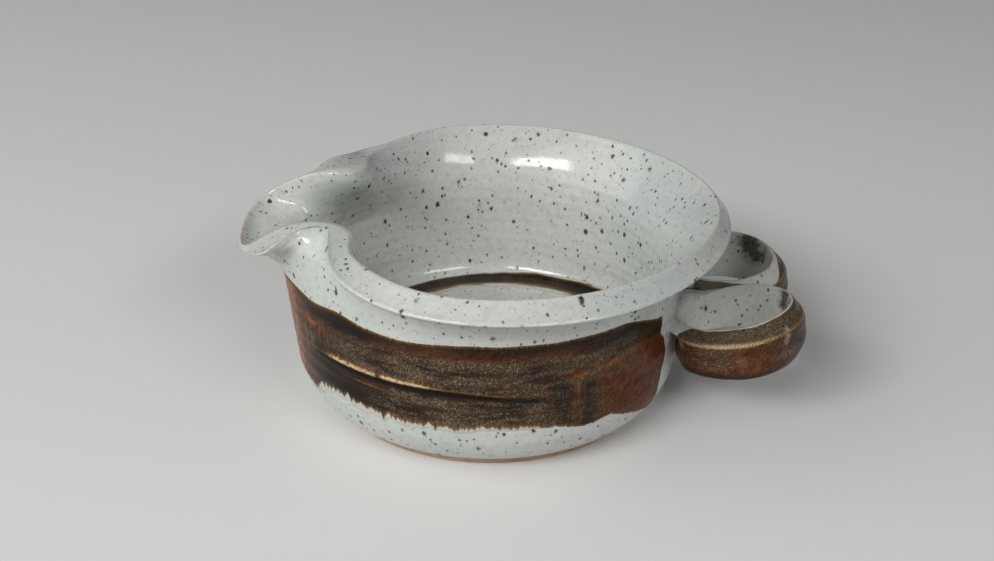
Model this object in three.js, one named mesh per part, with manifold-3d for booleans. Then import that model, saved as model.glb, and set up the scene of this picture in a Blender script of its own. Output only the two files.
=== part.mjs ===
// Hand-thrown stoneware pouring bowl: a flared collar rim, a pulled spout on one side and two finger
// loops on the other. Millimetres, +Z up. The origin is the centre of the flat foot on the table,
// the spout points along -X and the finger loops stand out along +X.
import * as THREE from 'three';
import { mergeVertices } from 'three/addons/utils/BufferGeometryUtils.js';
import Module from 'manifold-3d';

// Bowl
const bowlHeight = 70;
const wallRadius = 65.5;
const wallThickness = 4.6;
const floorThickness = 13;
const floorCornerWidth = 5;
const floorCornerHeight = 8;

// Foot, bare of glaze, and the round belly above it, which starts that many degrees below level
const footInset = 10;
const footHeight = 2.4;
const footDraft = 0.5;
const glazeStep = 0.6;
const bellyHeight = 18;
const bellyStart = 65;

// Collar rim: a sloping outer face between the top edge and the ledge, over a hollow neck
const collarOverhang = 14.5;
const collarFaceWidth = 6;
const collarFaceDrop = 5.4;
const collarRound = 1;
const ledgeThickness = 2.2;
const neckHeight = 25;
const neckTuck = 4;
const mouthDepth = 28;
const mouthTuck = 13.4;

// Spout, pulled out of the soft rim between two pinched shoulders, and drawn a little to the rear
const spoutLean = 8;
const leanTaperHeight = 29.4;
const lipReach = 2.9;
const lipSkew = 1.8;
const frontFlare = 3.2;
const rearFlare = 6.2;
const lipThinning = 5.4;
const lipWidening = 5.5;
const lipLift = 1.7;
const lipDrop = 1.2;
const tipFlattening = 1.2;
const frontFlattening = 2.2;
const spoutDip = 13;
const throatSqueeze = 20.5;
const throatDraw = 10.5;
const throatDepth = 27;
const rearPinch = 5;
const shoulderLift = 3;
const shoulderFlattening = 4.6;

// Shares: how far the ledge goes with the throat, how far the neck is tucked in under the lip, and how far
// the collar's face is gathered into its top edge at the shoulders. The basin sinks late along its slope.
const throatFollow = 0.62;
const underTuck = 0.8;
const gatherShare = 0.9;
const basinPower = 2.3;

// Where round the rim each of these is strongest, and how far it spreads, in degrees from the spout,
// with the front negative
const leanSpread = 24;
const leanFootSpread = 50;
const lipAngle = 6;
const lipEndAngle = 27;
const skewAngle = 9;
const skewSpread = 9;
const flareAngle = 12;
const flareSpread = 8;
const thinningAngle = -8;
const frontThinningSpread = 14;
const rearThinningSpread = 27;
const wideningAngle = -25;
const wideningSpread = 8.5;
const tipSpread = 9;
const frontFlatAngle = -13;
const frontFlatSpread = 8;
const dipSpread = 22;
const tuckSpread = 34;
const throatAngle = 41;
const throatSpread = 17;
const throatBackSpread = 22;
const drawSpread = 13;
const drawBackSpread = 8.5;
const rearPinchAngle = 36;
const rearPinchSpread = 9;
const shoulderAngle = 33;
const shoulderSpread = 12;
const flatAngle = 38;
const flatSpread = 16;
const frontGatherAngle = -35;
const rearGatherAngle = 27;
const gatherSpread = 6;

// Finger loops: two straps bent round and pressed against the wall and each other
const loopRadius = 17.5;
const loopTop = 39;
const strapHeight = 17;
const strapThickness = 5.4;
const strapTopThickness = 1.9;
const strapFootThickness = 3;
const strapBevel = 4;
const strapSwell = 0.5;
const ridgeRound = 0.8;
const strapRound = 0.8;
const contactThickness = 2.3;
const loopMouth = 8;

// The loops aren't level. Each is lifted and slopes up away from the bowl and up outwards, by these shares of
// the way from its axis, and its foot follows only in part.
const frontLift = 0.5;
const frontSlope = 0.239;
const frontOuterSlope = 0.096;
const rearLift = 1;
const rearSlope = 0.06;
const rearOuterSlope = 0.075;
const strapFootFollow = 0.3;

// Clay coils worked round the strap ends
const coilWidth = 2.2;
const coilThickness = 3;

// Brown glaze layers laid over the pale glaze
const glazeThickness = 0.7;
const bandDrop = 20.5;
const bandBottom = 16;
const bandClearance = 4;
const ringInset = 0.6;
const ringWidth = 8.6;

// Slip gap left between two pieces that touch
const slipGap = 0.3;

// Facets of the turned pieces and of a loop
const bowlSegments = 72;
const loopSegments = 44;
const curveSteps = 5;
const strapSteps = 3;
const bandSteps = 7;

const wasm = await Module();
wasm.setup();

const degree = Math.PI / 180;
const rimRadius = wallRadius + collarOverhang - collarFaceWidth;
const ledgeRadius = wallRadius + collarOverhang;
const ledgeHeight = bowlHeight - collarFaceDrop;
const neckStart = bowlHeight - neckHeight;
const innerRadius = wallRadius - wallThickness;
const floorRadius = innerRadius - floorCornerWidth;
const footRadius = wallRadius - footInset;

// A closed solid of a geometry whose shared corners are welded.
function solidOf(geometry) {
  const weld = 1e-3;
  const bare = geometry.clone();
  bare.deleteAttribute('normal');
  bare.deleteAttribute('uv');
  const welded = mergeVertices(bare, weld);
  const corners = welded.index.array;
  const triVerts = [];
  for (let i = 0; i < corners.length; i += 3) {
    const [a, b, c] = corners.slice(i, i + 3);
    if (a !== b && b !== c && c !== a) triVerts.push(a, b, c);
  }
  return new wasm.Manifold(new wasm.Mesh({
    numProp: 3,
    vertProperties: welded.attributes.position.array,
    triVerts: new Uint32Array(triVerts),
  }));
}

function geometryOf(solid) {
  const mesh = solid.getMesh();
  const geometry = new THREE.BufferGeometry();
  geometry.setAttribute('position', new THREE.BufferAttribute(mesh.vertProperties, 3));
  geometry.setIndex(new THREE.BufferAttribute(mesh.triVerts, 1));
  geometry.computeVertexNormals();
  return geometry;
}

function boxSolid(low, high) {
  const size = new THREE.Vector3().subVectors(high, low);
  const box = new THREE.BoxGeometry(size.x, size.y, size.z);
  box.translate((low.x + high.x) / 2, (low.y + high.y) / 2, (low.z + high.z) / 2);
  return solidOf(box);
}

// Smooth rise from 0 at the low end to 1 at the high end.
function ramp(low, high, value) {
  const share = THREE.MathUtils.clamp((value - low) / (high - low), 0, 1);
  return share * share * (3 - 2 * share);
}

// Bell curve of an angle in degrees.
function bell(angle, centre, width) {
  return Math.exp(-(((angle - centre) / width) ** 2));
}

// How far across the collar's sloping face a point lies: 0 at the top edge, 1 at the ledge.
function collarShare(radius) {
  return THREE.MathUtils.clamp((radius - rimRadius) / collarFaceWidth, 0, 1);
}

// Where the potter's fingers leave a point of the round bowl. The point has its radius and height, how far
// it goes with the pinched throat, and whether it is on the inside. turn is the angle from the spout.
function pullPoint(point, turn) {
  const { x: radius, y: height, squeeze = 0, inside = false } = point;
  const degrees = turn / degree;
  const angle = Math.abs(degrees);
  const side = Math.sign(turn);
  const rear = degrees > 0;

  // Towards the tip the collar thins to a lip, and the neck under it is tucked in.
  const collar = collarShare(radius);
  const frontThinning = bell(Math.min(degrees, 0), thinningAngle, frontThinningSpread);
  const thinning = frontThinning * bell(Math.max(degrees, 0), 0, rearThinningSpread);
  const onNeck = inside ? 0 : ramp(neckStart, ledgeHeight - neckTuck, height);
  const underLip = onNeck * ramp(ledgeHeight + collarRound, ledgeHeight - ledgeThickness, height);
  const overhang = Math.max(radius - wallRadius, 0);
  const tuck = underTuck * overhang * underLip * bell(angle, 0, tuckSpread);
  const r = radius - collar * lipThinning * thinning - tuck;

  // On the pinched shoulders and in front of the tip the collar's face lies flatter.
  const tipFlat = tipFlattening * bell(angle, 0, tipSpread);
  const frontFlat = frontFlattening * bell(degrees, frontFlatAngle, frontFlatSpread);
  const shoulderFlat = shoulderFlattening * bell(angle, flatAngle, flatSpread);
  const z = height + collar * (tipFlat + frontFlat + shoulderFlat);

  // The wall leans out under the spout, and the lip runs on to a blunt tip.
  const rise = THREE.MathUtils.clamp((z - footHeight) / (bowlHeight - footHeight), 0, 1);
  const spread = THREE.MathUtils.lerp(leanFootSpread, leanSpread, ramp(leanTaperHeight, bowlHeight, z));
  const lean = spoutLean * rise * Math.min(radius / wallRadius, 1) * bell(angle, 0, spread);
  const atLip = ramp(neckStart, bowlHeight, z);
  const skew = lipSkew * bell(degrees, skewAngle, skewSpread);
  const lip = atLip ** 2 * (skew + lipReach * (1 - ramp(lipAngle, lipEndAngle, angle)));
  const flare = (rear ? rearFlare : frontFlare) * atLip * bell(angle, flareAngle, flareSpread);

  // The throat behind the lip is pinched from both sides and drawn in towards the bowl's middle.
  const behind = angle > throatAngle;
  const draw = throatDraw * squeeze * bell(angle, throatAngle, behind ? drawBackSpread : drawSpread);
  const evenPinch = throatSqueeze * bell(angle, throatAngle, behind ? throatBackSpread : throatSpread);
  const pinch = squeeze * evenPinch + rearPinch * squeeze ** 3 * bell(degrees, rearPinchAngle, rearPinchSpread);

  // The lip sinks below the rim, the shoulders stand up beside it, and its front is rolled out wide.
  const wide = bell(degrees, wideningAngle, wideningSpread);
  const sinking = spoutDip * bell(angle, 0, dipSpread);
  const lifting = shoulderLift * bell(angle, shoulderAngle, shoulderSpread);
  const rolling = wide * THREE.MathUtils.lerp(lipLift, -lipDrop, collar);
  const following = inside ? atLip ** basinPower : atLip;
  const along = r * Math.cos(turn) + lean + lip - draw;
  const across = r * Math.sin(turn) + side * (flare - pinch + wide * lipWidening * collar * atLip);
  return new THREE.Vector3(-along, across, z + following * (lifting - sinking + rolling));
}

// The same, with the collar's face gathered into its top edge at the two shoulders.
const topEdge = new THREE.Vector2(rimRadius, bowlHeight);
topEdge.squeeze = 1;
function pullSpout(point, turn) {
  const front = bell(turn / degree, frontGatherAngle, gatherSpread);
  const rear = bell(turn / degree, rearGatherAngle, gatherSpread);
  const share = gatherShare * collarShare(point.x) * Math.max(front, rear);
  return pullPoint(point, turn).lerp(pullPoint(topEdge, turn), share);
}

// Turns a profile of (radius, height) points on the wheel, then pulls the spout.
// The facets crowd towards the spout, where the rim bends most.
function turned(profile) {
  const crowding = 0.4;
  const geometry = new THREE.LatheGeometry(profile, bowlSegments);
  geometry.rotateX(Math.PI / 2);
  const place = geometry.attributes.position;
  for (let i = 0; i < place.count; i += 1) {
    const around = Math.atan2(place.getY(i), -place.getX(i));
    const turn = around - crowding * Math.sin(around);
    const pulled = pullSpout(profile[i % profile.length], turn);
    place.setXYZ(i, pulled.x, pulled.y, pulled.z);
  }
  return solidOf(geometry);
}

// Outside of the bowl from the foot's edge to the top edge, as a path of (radius, height).
function outsidePath() {
  const path = new THREE.Path();
  const startAngle = bellyStart * degree;
  const bellyFoot = footRadius + footDraft + glazeStep;
  const bellyAcross = (wallRadius - bellyFoot) / (1 - Math.cos(startAngle));
  const bellyUp = (bellyHeight - footHeight - glazeStep / 2) / Math.sin(startAngle);
  path.moveTo(footRadius, 0);
  path.lineTo(footRadius + footDraft, footHeight);
  path.absellipse(wallRadius - bellyAcross, bellyHeight, bellyAcross, bellyUp, -startAngle, 0, false, 0);
  path.lineTo(wallRadius, (bellyHeight + neckStart) / 2);
  path.lineTo(wallRadius, neckStart);
  const ledgeRoot = new THREE.Vector2(ledgeRadius - ledgeThickness, ledgeHeight - ledgeThickness / 2);
  path.quadraticCurveTo(wallRadius, ledgeHeight - neckTuck, ledgeRoot.x, ledgeRoot.y);
  path.lineTo(ledgeRadius - ledgeThickness / 4, ledgeHeight - ledgeThickness / 3);
  path.lineTo(ledgeRadius, ledgeHeight + collarRound / 4);
  path.lineTo(ledgeRadius - collarRound, ledgeHeight + collarRound);
  path.lineTo(rimRadius + collarFaceWidth / 2, bowlHeight - collarFaceDrop / 2);
  path.lineTo(rimRadius + collarRound, bowlHeight - collarRound / 2);
  path.lineTo(rimRadius, bowlHeight);
  return path;
}

// Inside of the bowl from the top edge down to the middle of the floor.
function insidePath() {
  const path = new THREE.Path();
  const wallTop = bowlHeight - mouthDepth;
  const wallFoot = floorThickness + floorCornerHeight;
  path.moveTo(rimRadius, bowlHeight);
  path.lineTo(rimRadius - collarRound, bowlHeight - collarRound);
  path.quadraticCurveTo(innerRadius, bowlHeight - mouthTuck, innerRadius, wallTop);
  path.lineTo(innerRadius, (wallTop + wallFoot) / 2);
  path.lineTo(innerRadius, wallFoot);
  path.absellipse(floorRadius, wallFoot, floorCornerWidth, floorCornerHeight, 0, -Math.PI / 2, true, 0);
  path.lineTo(0, floorThickness);
  return path;
}

const outside = outsidePath().getPoints(curveSteps);
const inside = insidePath().getPoints(curveSteps);

// The ledge goes only part of the way with the pinched inner edge, so clay gathers between them, and the
// neck under it is pushed in by its overhang, which leaves the wall flush below the pinched shoulders.
function neckSqueeze(radius) {
  return throatFollow * THREE.MathUtils.clamp((radius - wallRadius) / collarOverhang, 0, 1);
}

for (const point of outside) {
  const onFace = point.y > ledgeHeight;
  const faceSqueeze = THREE.MathUtils.lerp(1, throatFollow, collarShare(point.x));
  point.squeeze = onFace ? faceSqueeze : neckSqueeze(point.x);
}
for (const point of inside) {
  point.squeeze = ramp(bowlHeight - throatDepth, bowlHeight, point.y);
  point.inside = true;
}
const baseCentre = new THREE.Vector2(0, 0);
const bowlSolid = turned([baseCentre, ...outside, ...inside.slice(1)]);

// The bowl's outside grown outwards and filled, to cut or to limit what is pressed on the wall.
function grownWall(growth) {
  const grown = outside.map((point) => {
    const moved = new THREE.Vector2(point.x + growth, point.y);
    moved.squeeze = point.squeeze;
    return moved;
  });
  grown[0].y = -growth;
  return turned([new THREE.Vector2(0, -growth), ...grown, new THREE.Vector2(0, bowlHeight)]);
}

const wallWithGap = grownWall(slipGap);
const wallWithCoil = grownWall(slipGap + coilThickness);

// Brown band round the wall, left open at the loops.
const bandTop = bowlHeight - bandDrop;
const bandInner = [];
const bandOuter = [];
const wallLine = outside.filter((point) => point.y > footHeight);

// Radius of the bowl's outside at a height below the collar.
function wallRadiusAt(height) {
  const above = wallLine.findIndex((point) => point.y >= height);
  const low = wallLine[Math.max(above - 1, 0)];
  const high = wallLine[above];
  const share = high.y === low.y ? 0 : (height - low.y) / (high.y - low.y);
  return THREE.MathUtils.lerp(low.x, high.x, share);
}

for (let step = 0; step <= bandSteps; step += 1) {
  const height = THREE.MathUtils.lerp(bandBottom, bandTop, step / bandSteps);
  const radius = wallRadiusAt(height);
  const under = new THREE.Vector2(radius + slipGap, height);
  const over = new THREE.Vector2(radius + slipGap + glazeThickness, height);
  under.squeeze = neckSqueeze(radius);
  over.squeeze = under.squeeze;
  bandInner.unshift(under);
  bandOuter.push(over);
}
const bandProfile = [...bandOuter, ...bandInner, bandOuter[0]];

// Section of a strap, as (radius from the loop's axis, height): flat inside, a ridge outside.
const loopBottom = loopTop - strapHeight;
const ridgeRadius = loopRadius + strapThickness;
const ridgeHeight = loopTop - strapBevel;
const loopOffset = loopRadius + contactThickness;
const loopCentre = wallRadius + loopRadius;
const loopDistance = Math.hypot(loopCentre, loopOffset);
const loopAngle = Math.atan2(loopOffset, loopCentre);

function strapOutside(growth) {
  const ridge = ridgeRadius + growth;
  const side = ridge - strapSwell;
  const path = new THREE.Path();
  path.moveTo(loopRadius + strapFootThickness + growth, loopBottom);
  path.quadraticCurveTo(side, loopBottom, side, (loopBottom + ridgeHeight) / 2);
  path.lineTo(ridge, ridgeHeight - ridgeRound);
  path.lineTo(ridge - ridgeRound / 4, ridgeHeight + ridgeRound / 2);
  path.lineTo(loopRadius + strapTopThickness + growth, loopTop - strapRound / 2);
  return path.getPoints(strapSteps);
}

function strapSection(growth) {
  const outer = strapOutside(growth);
  outer[0].y -= growth;
  outer[outer.length - 1].y += growth;
  return [
    new THREE.Vector2(loopRadius + strapRound - growth, loopBottom - growth),
    ...outer,
    new THREE.Vector2(loopRadius + strapRound - growth, loopTop + growth),
    new THREE.Vector2(loopRadius - growth, loopTop - strapRound),
    new THREE.Vector2(loopRadius - growth, loopBottom + strapRound),
  ];
}

// A ring about the upright axis of the loop on one side, front (-1) or rear (1), with its tilt.
function loopRing(section, side) {
  const geometry = new THREE.LatheGeometry([...section, section[0].clone()], loopSegments);
  geometry.rotateX(Math.PI / 2);
  const lift = side < 0 ? frontLift : rearLift;
  const slope = side < 0 ? frontSlope : rearSlope;
  const outerSlope = side < 0 ? frontOuterSlope : rearOuterSlope;
  const place = geometry.attributes.position;
  for (let i = 0; i < place.count; i += 1) {
    const tilt = lift + slope * place.getX(i) + outerSlope * side * place.getY(i);
    const rise = THREE.MathUtils.clamp((place.getZ(i) - loopBottom) / strapHeight, 0, 1);
    place.setZ(i, place.getZ(i) + tilt * THREE.MathUtils.lerp(strapFootFollow, 1, rise ** 2));
  }
  geometry.translate(loopCentre, side * loopOffset, 0);
  return solidOf(geometry);
}

// Block on one side of the plane where the two loops are pressed together.
const far = 4 * ledgeRadius;
function sideBlock(side) {
  const near = slipGap / 2;
  const low = new THREE.Vector3(-far, side > 0 ? near : -far, -far);
  const high = new THREE.Vector3(far, side > 0 ? far : -near, far);
  return boxSolid(low, high);
}

// Block that reaches from the bowl's axis along the line to a loop's axis, between two distances across it.
function lineBlock(side, length, right, left) {
  const box = new THREE.BoxGeometry(length, left - right, 2 * far);
  box.translate(length / 2, (left + right) / 2, 0);
  box.rotateZ(side * loopAngle);
  return solidOf(box);
}

// Block that opens a loop towards the wall, between the strap's two ends.
function mouthBlock(side, width) {
  return lineBlock(side, loopDistance, -width / 2, width / 2);
}

function fingerLoop(side) {
  const ring = loopRing(strapSection(0), side);
  return ring.subtract(mouthBlock(side, loopMouth)).subtract(wallWithGap).intersect(sideBlock(side));
}

// Clay worked round a strap end, outer or inner, between the wall and the strap.
function jointCoil(side, outer) {
  const coilRing = loopRing(strapSection(slipGap + coilWidth), side);
  const strapRing = loopRing(strapSection(slipGap), side).subtract(mouthBlock(side, loopMouth - 2 * slipGap));
  const mouth = mouthBlock(side, loopMouth - 2 * (slipGap + coilWidth));
  const leftward = outer === side > 0;
  const half = lineBlock(side, far, leftward ? 0 : -far, leftward ? far : 0);
  const around = coilRing.intersect(wallWithCoil).subtract(wallWithGap).subtract(strapRing).subtract(mouth);
  return around.intersect(half).intersect(sideBlock(side));
}

// Brown glaze over the outward face of a loop, from the coil round to the other loop.
function loopGlaze(side) {
  const skin = [
    ...strapOutside(slipGap + glazeThickness),
    ...strapOutside(slipGap).reverse(),
  ];
  const middle = side * loopOffset;
  const low = new THREE.Vector3(0, side > 0 ? -far : middle, -far);
  const high = new THREE.Vector3(loopCentre, side > 0 ? middle : far, far);
  const covered = grownWall(coilThickness + 2 * slipGap);
  return loopRing(skin, side).subtract(covered).subtract(boxSolid(low, high)).intersect(sideBlock(side));
}

// The band stops clear of the coils: where a circle round a loop, wide enough for both, meets the wall.
const rootReach = ridgeRadius + slipGap + coilWidth + bandClearance;
const bandRadius = wallRadius + slipGap + glazeThickness;
const reachCosine = (loopDistance ** 2 + bandRadius ** 2 - rootReach ** 2) / (2 * loopDistance * bandRadius);
const bandEndAngle = loopAngle + Math.acos(reachCosine);
const bandGap = bandRadius * Math.sin(bandEndAngle);
const bandOpening = boxSolid(new THREE.Vector3(0, -bandGap, -far), new THREE.Vector3(far, bandGap, far));
const bandSolid = turned(bandProfile).subtract(bandOpening);

// Brown ring on the floor, just inside the corner.
const ringOuter = floorRadius - ringInset;
const ringBottom = floorThickness + slipGap;
const ringProfile = [
  new THREE.Vector2(ringOuter - ringWidth, ringBottom),
  new THREE.Vector2(ringOuter, ringBottom),
  new THREE.Vector2(ringOuter, ringBottom + glazeThickness),
  new THREE.Vector2(ringOuter - ringWidth, ringBottom + glazeThickness),
  new THREE.Vector2(ringOuter - ringWidth, ringBottom),
];
const ringGeometry = new THREE.LatheGeometry(ringProfile, bowlSegments);
ringGeometry.rotateX(Math.PI / 2);

const paleGlaze = { color: 0xc9cfcb, roughness: 0.25, metalness: 0 };
const brownGlaze = { color: 0x54351f, roughness: 0.35, metalness: 0 };
const loopPale = { color: 0xc3c9c5, roughness: 0.28, metalness: 0 };
const loopBrown = { color: 0x6a3d22, roughness: 0.35, metalness: 0 };
const coilClay = { color: 0xbfc5c0, roughness: 0.3, metalness: 0 };
const floorBrown = { color: 0x3f2b1c, roughness: 0.3, metalness: 0 };

const bowl = new THREE.Group();

function addPiece(name, geometry, finish) {
  const piece = new THREE.Mesh(geometry, new THREE.MeshStandardMaterial(finish));
  piece.name = name;
  bowl.add(piece);
}

addPiece('bowl_body', geometryOf(bowlSolid), paleGlaze);
addPiece('wall_band_glaze', geometryOf(bandSolid), brownGlaze);
addPiece('floor_ring_glaze', geometryOf(solidOf(ringGeometry)), floorBrown);
for (const [word, side] of [['front', -1], ['rear', 1]]) {
  addPiece(`${word}_loop`, geometryOf(fingerLoop(side)), loopPale);
  addPiece(`${word}_loop_glaze`, geometryOf(loopGlaze(side)), loopBrown);
  addPiece(`${word}_loop_outer_joint`, geometryOf(jointCoil(side, true)), coilClay);
  addPiece(`${word}_loop_inner_joint`, geometryOf(jointCoil(side, false)), coilClay);
}

export default bowl;
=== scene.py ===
import bisect
import math

import bmesh
import bpy
from mathutils import Matrix, Vector, noise
from mathutils.geometry import interpolate_bezier


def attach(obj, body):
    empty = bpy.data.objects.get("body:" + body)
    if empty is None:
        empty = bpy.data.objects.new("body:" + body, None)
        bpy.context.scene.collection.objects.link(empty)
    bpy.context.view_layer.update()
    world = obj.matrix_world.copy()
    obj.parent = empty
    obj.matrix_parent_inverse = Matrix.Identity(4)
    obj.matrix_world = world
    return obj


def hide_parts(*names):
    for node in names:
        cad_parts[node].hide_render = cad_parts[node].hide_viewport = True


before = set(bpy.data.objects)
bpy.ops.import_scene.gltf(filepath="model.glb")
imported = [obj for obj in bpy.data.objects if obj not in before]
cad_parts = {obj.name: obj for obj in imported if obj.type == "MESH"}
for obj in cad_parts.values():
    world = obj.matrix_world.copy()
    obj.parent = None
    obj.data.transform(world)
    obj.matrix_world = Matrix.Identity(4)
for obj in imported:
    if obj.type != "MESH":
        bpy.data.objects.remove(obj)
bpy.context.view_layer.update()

# Thrown bowl. The potter turns it from one lump of speckled stoneware, flares the rim to a collar and
# pulls the spout out of it with the fingers. It is dipped in a pale glaze and stands on a bare clay foot.
# Lengths are in millimetres and angles in degrees, counted from the spout, until a piece is finished.
mm = 0.001
bowl_height = 70
wall_radius = 65.5
inner_radius = 60.9
floor_height = 13
floor_radius = 55.9
floor_corner_height = 8
foot_radius = 55.5
foot_height = 2.4
belly_height = 18
belly_across = 15.4
belly_up = 16.9
belly_start = 63
neck_start = 45
rim_radius = 74
ledge_radius = 80
ledge_height = 64.6
mouth_start = 42
top_radius = 74.3
top_height = 69.9
spout_lean = 8
lean_start = 29.4
lean_spread = 24
lean_foot_spread = 50
lip_reach = 2.9
lip_start = 6
lip_end = 27
lip_skew = 1.8
skew_angle = 9
front_flare = 3.2
rear_flare = 6.2
flare_angle = 12
flare_spread = 8
lip_thinning = 5.4
thinning_turn = -8
front_thinning_spread = 14
rear_thinning_spread = 27
under_tuck = 0.8
tuck_spread = 34
wide_turn = -25
wide_spread = 8.5
widening = 5.5
wide_lift = 1.7
wide_drop = 1.2
tip_flattening = 1.2
tip_spread = 9
front_flattening = 2.2
front_flat_turn = -13
front_flat_spread = 8
shoulder_flattening = 4.6
flat_angle = 38
flat_spread = 16
spout_dip = 13
dip_spread = 22
shoulder_lift = 3
shoulder_angle = 33
shoulder_spread = 12
throat_depth = 27
throat_follow = 0.62
throat_angle = 41
throat_squeeze = 20.5
throat_spread = 17
throat_back_spread = 22
throat_draw = 10.5
draw_spread = 13
draw_back_spread = 8.5
rear_pinch = 5
rear_pinch_angle = 36
rear_pinch_spread = 9
basin_sink = 2.3
gather_share = 0.9
front_gather = -35
front_gather_spread = 6
rear_gather = 27
rear_gather_spread = 6
right_reach = 2.8
right_spread = 30
right_narrowing = 0.5
front_right_angle = 62
front_right_spread = 30
front_right_reach = 1.4
front_right_drop = 1.2
tuck_full = 60.6
tuck_fade = 62.4
tuck_end = 65.6
ledge_hollow = 0.9
hollow_radius = 78.9
hollow_width = 0.6
hollow_height = 63.6
hollow_angle = 40
hollow_spread = 22
groove_height = 32.5
groove_fall = 2.5
groove_depth = 0.5
ridge_height = 0.4
ring_pitch = 5.2
ring_depth = 0.07
inner_ring_pitch = 4.3
inner_ring_depth = 0.05
# Light edges at the top and at the ledge: worn, thin glaze, and also a painted highlight along the crest.
top_wear_highlight_width = 1
ledge_wear_highlight_width = 0.8
ledge_wear_highlight = 0.7
pink_spread = 30
spout_crowding = 0.4
bowl_steps = 288
pale_gloss = 0.5


def ramp(low, high, value):
    """Smooth rise from 0 at the low end to 1 at the high end."""
    share = min(max((value - low) / (high - low), 0), 1)
    return share * share * (3 - 2 * share)


def lerp(first, second, share):
    return first + (second - first) * share


def bell(value, centre, width):
    """Bell curve, 1 at its centre."""
    return math.exp(-(((value - centre) / width) ** 2))


def stroke(start, pull, end, steps):
    """Points of a curve from start to end that bends towards the pull point."""
    start, pull, end = Vector(start), Vector(pull), Vector(end)
    return interpolate_bezier(start, start.lerp(pull, 2 / 3), end.lerp(pull, 2 / 3), end, steps)


def straight(start, end, steps):
    return stroke(start, Vector(start).lerp(Vector(end), 0.5), end, steps)


def arc(centre, across, up, first, last, steps):
    """Points of part of an ellipse, from the first angle to the last in degrees."""
    angles = [math.radians(lerp(first, last, step / (steps - 1))) for step in range(steps)]
    return [Vector((centre[0] + across * math.cos(a), centre[1] + up * math.sin(a))) for a in angles]


def collar_share(radius):
    """How far across the collar's sloping face a point lies: 0 at the top edge, 1 at the ledge."""
    return min(max((radius - rim_radius) / (ledge_radius - rim_radius), 0), 1)


def neck_squeeze(radius):
    """How far the neck goes with the pinched throat: the more it overhangs, the further."""
    return throat_follow * min(max((radius - wall_radius) / (ledge_radius - wall_radius), 0), 1)


def pull_point(radius, turn, height, squeeze, inside):
    """Where the potter's fingers leave a point of the round bowl. turn is the angle from the spout."""
    angle = abs(turn)
    side = math.copysign(1, turn)
    collar = collar_share(radius)
    thinning = bell(min(turn, 0), thinning_turn, front_thinning_spread)
    thinning *= bell(max(turn, 0), 0, rear_thinning_spread)
    r = radius - collar * lip_thinning * thinning
    if not inside:
        under_lip = ramp(neck_start, tuck_full, height) * ramp(tuck_end, tuck_fade, height)
        r -= under_tuck * max(radius - wall_radius, 0) * bell(angle, 0, tuck_spread) * under_lip
    flat = tip_flattening * bell(angle, 0, tip_spread)
    flat += shoulder_flattening * bell(angle, flat_angle, flat_spread)
    flat += front_flattening * bell(turn, front_flat_turn, front_flat_spread)
    z = height + collar * flat
    rise = min(max((z - foot_height) / (bowl_height - foot_height), 0), 1)
    spread = lerp(lean_foot_spread, lean_spread, ramp(lean_start, bowl_height, z))
    lean = spout_lean * rise * min(radius / wall_radius, 1) * bell(angle, 0, spread)
    at_lip = ramp(neck_start, bowl_height, z)
    from_loops = 180 - angle
    front_right = bell(from_loops, front_right_angle, front_right_spread) * (turn < 0)
    stretch = right_reach * bell(from_loops, 0, right_spread) * lerp(1, right_narrowing, collar)
    r += at_lip * (stretch + front_right_reach * front_right)
    reach = lip_reach * (1 - ramp(lip_start, lip_end, angle)) + lip_skew * bell(turn, skew_angle, skew_angle)
    lip = reach * at_lip**2
    wide = bell(turn, wide_turn, wide_spread)
    flare = (rear_flare if turn > 0 else front_flare) * at_lip * bell(angle, flare_angle, flare_spread)
    behind = angle > throat_angle
    drawn_over = draw_back_spread if behind else draw_spread
    pinched_over = throat_back_spread if behind else throat_spread
    draw = throat_draw * squeeze * bell(angle, throat_angle, drawn_over)
    pinch = throat_squeeze * squeeze * bell(angle, throat_angle, pinched_over)
    pinch += rear_pinch * squeeze**3 * bell(turn, rear_pinch_angle, rear_pinch_spread)
    lifted = shoulder_lift * bell(angle, shoulder_angle, shoulder_spread)
    lifted -= spout_dip * bell(angle, 0, dip_spread)
    lifted += wide * lerp(wide_lift, -wide_drop, collar) - front_right_drop * front_right * collar
    turned = math.radians(turn)
    along = r * math.cos(turned) + lean + lip - draw
    across = r * math.sin(turned) + side * (flare - pinch + wide * widening * collar * at_lip)
    return Vector((-along, across, z + (at_lip**basin_sink if inside else at_lip) * lifted))


def pull_spout(radius, turn, height, squeeze, inside=False):
    """The same, with the collar's face gathered into the crest at the spout's two shoulders."""
    front = bell(turn, front_gather, front_gather_spread)
    rear = bell(turn, rear_gather, rear_gather_spread)
    crest = pull_point(top_radius, turn, top_height, 1, False)
    place = pull_point(radius, turn, height, squeeze, inside)
    return place.lerp(crest, gather_share * collar_share(radius) * max(front, rear))


def groove_line(turn):
    """Height of the throwing groove that runs round the front of the wall."""
    return groove_height - groove_fall * ramp(76, 106, -turn)


def finger_rings(turn, height, pitch):
    """Wave of the rings that the fingers left while they drew up the wall."""
    return math.sin(math.tau * (height / pitch + turn / 360))


def wall_marks(turn, height):
    """What the fingers left on the outside of the wall: a groove with a ridge above, and soft rings."""
    along_front = ramp(26, 40, -turn) * ramp(122, 98, -turn)
    ridge = ridge_height * bell(height, groove_line(turn) + 0.9, 0.8)
    cut = groove_depth * bell(height, groove_line(turn) - 0.5, 0.6)
    on_side = ramp(8, 16, height) * ramp(58, 50, height)
    return along_front * (ridge - cut) + on_side * ring_depth * finger_rings(turn, height, ring_pitch)


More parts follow.
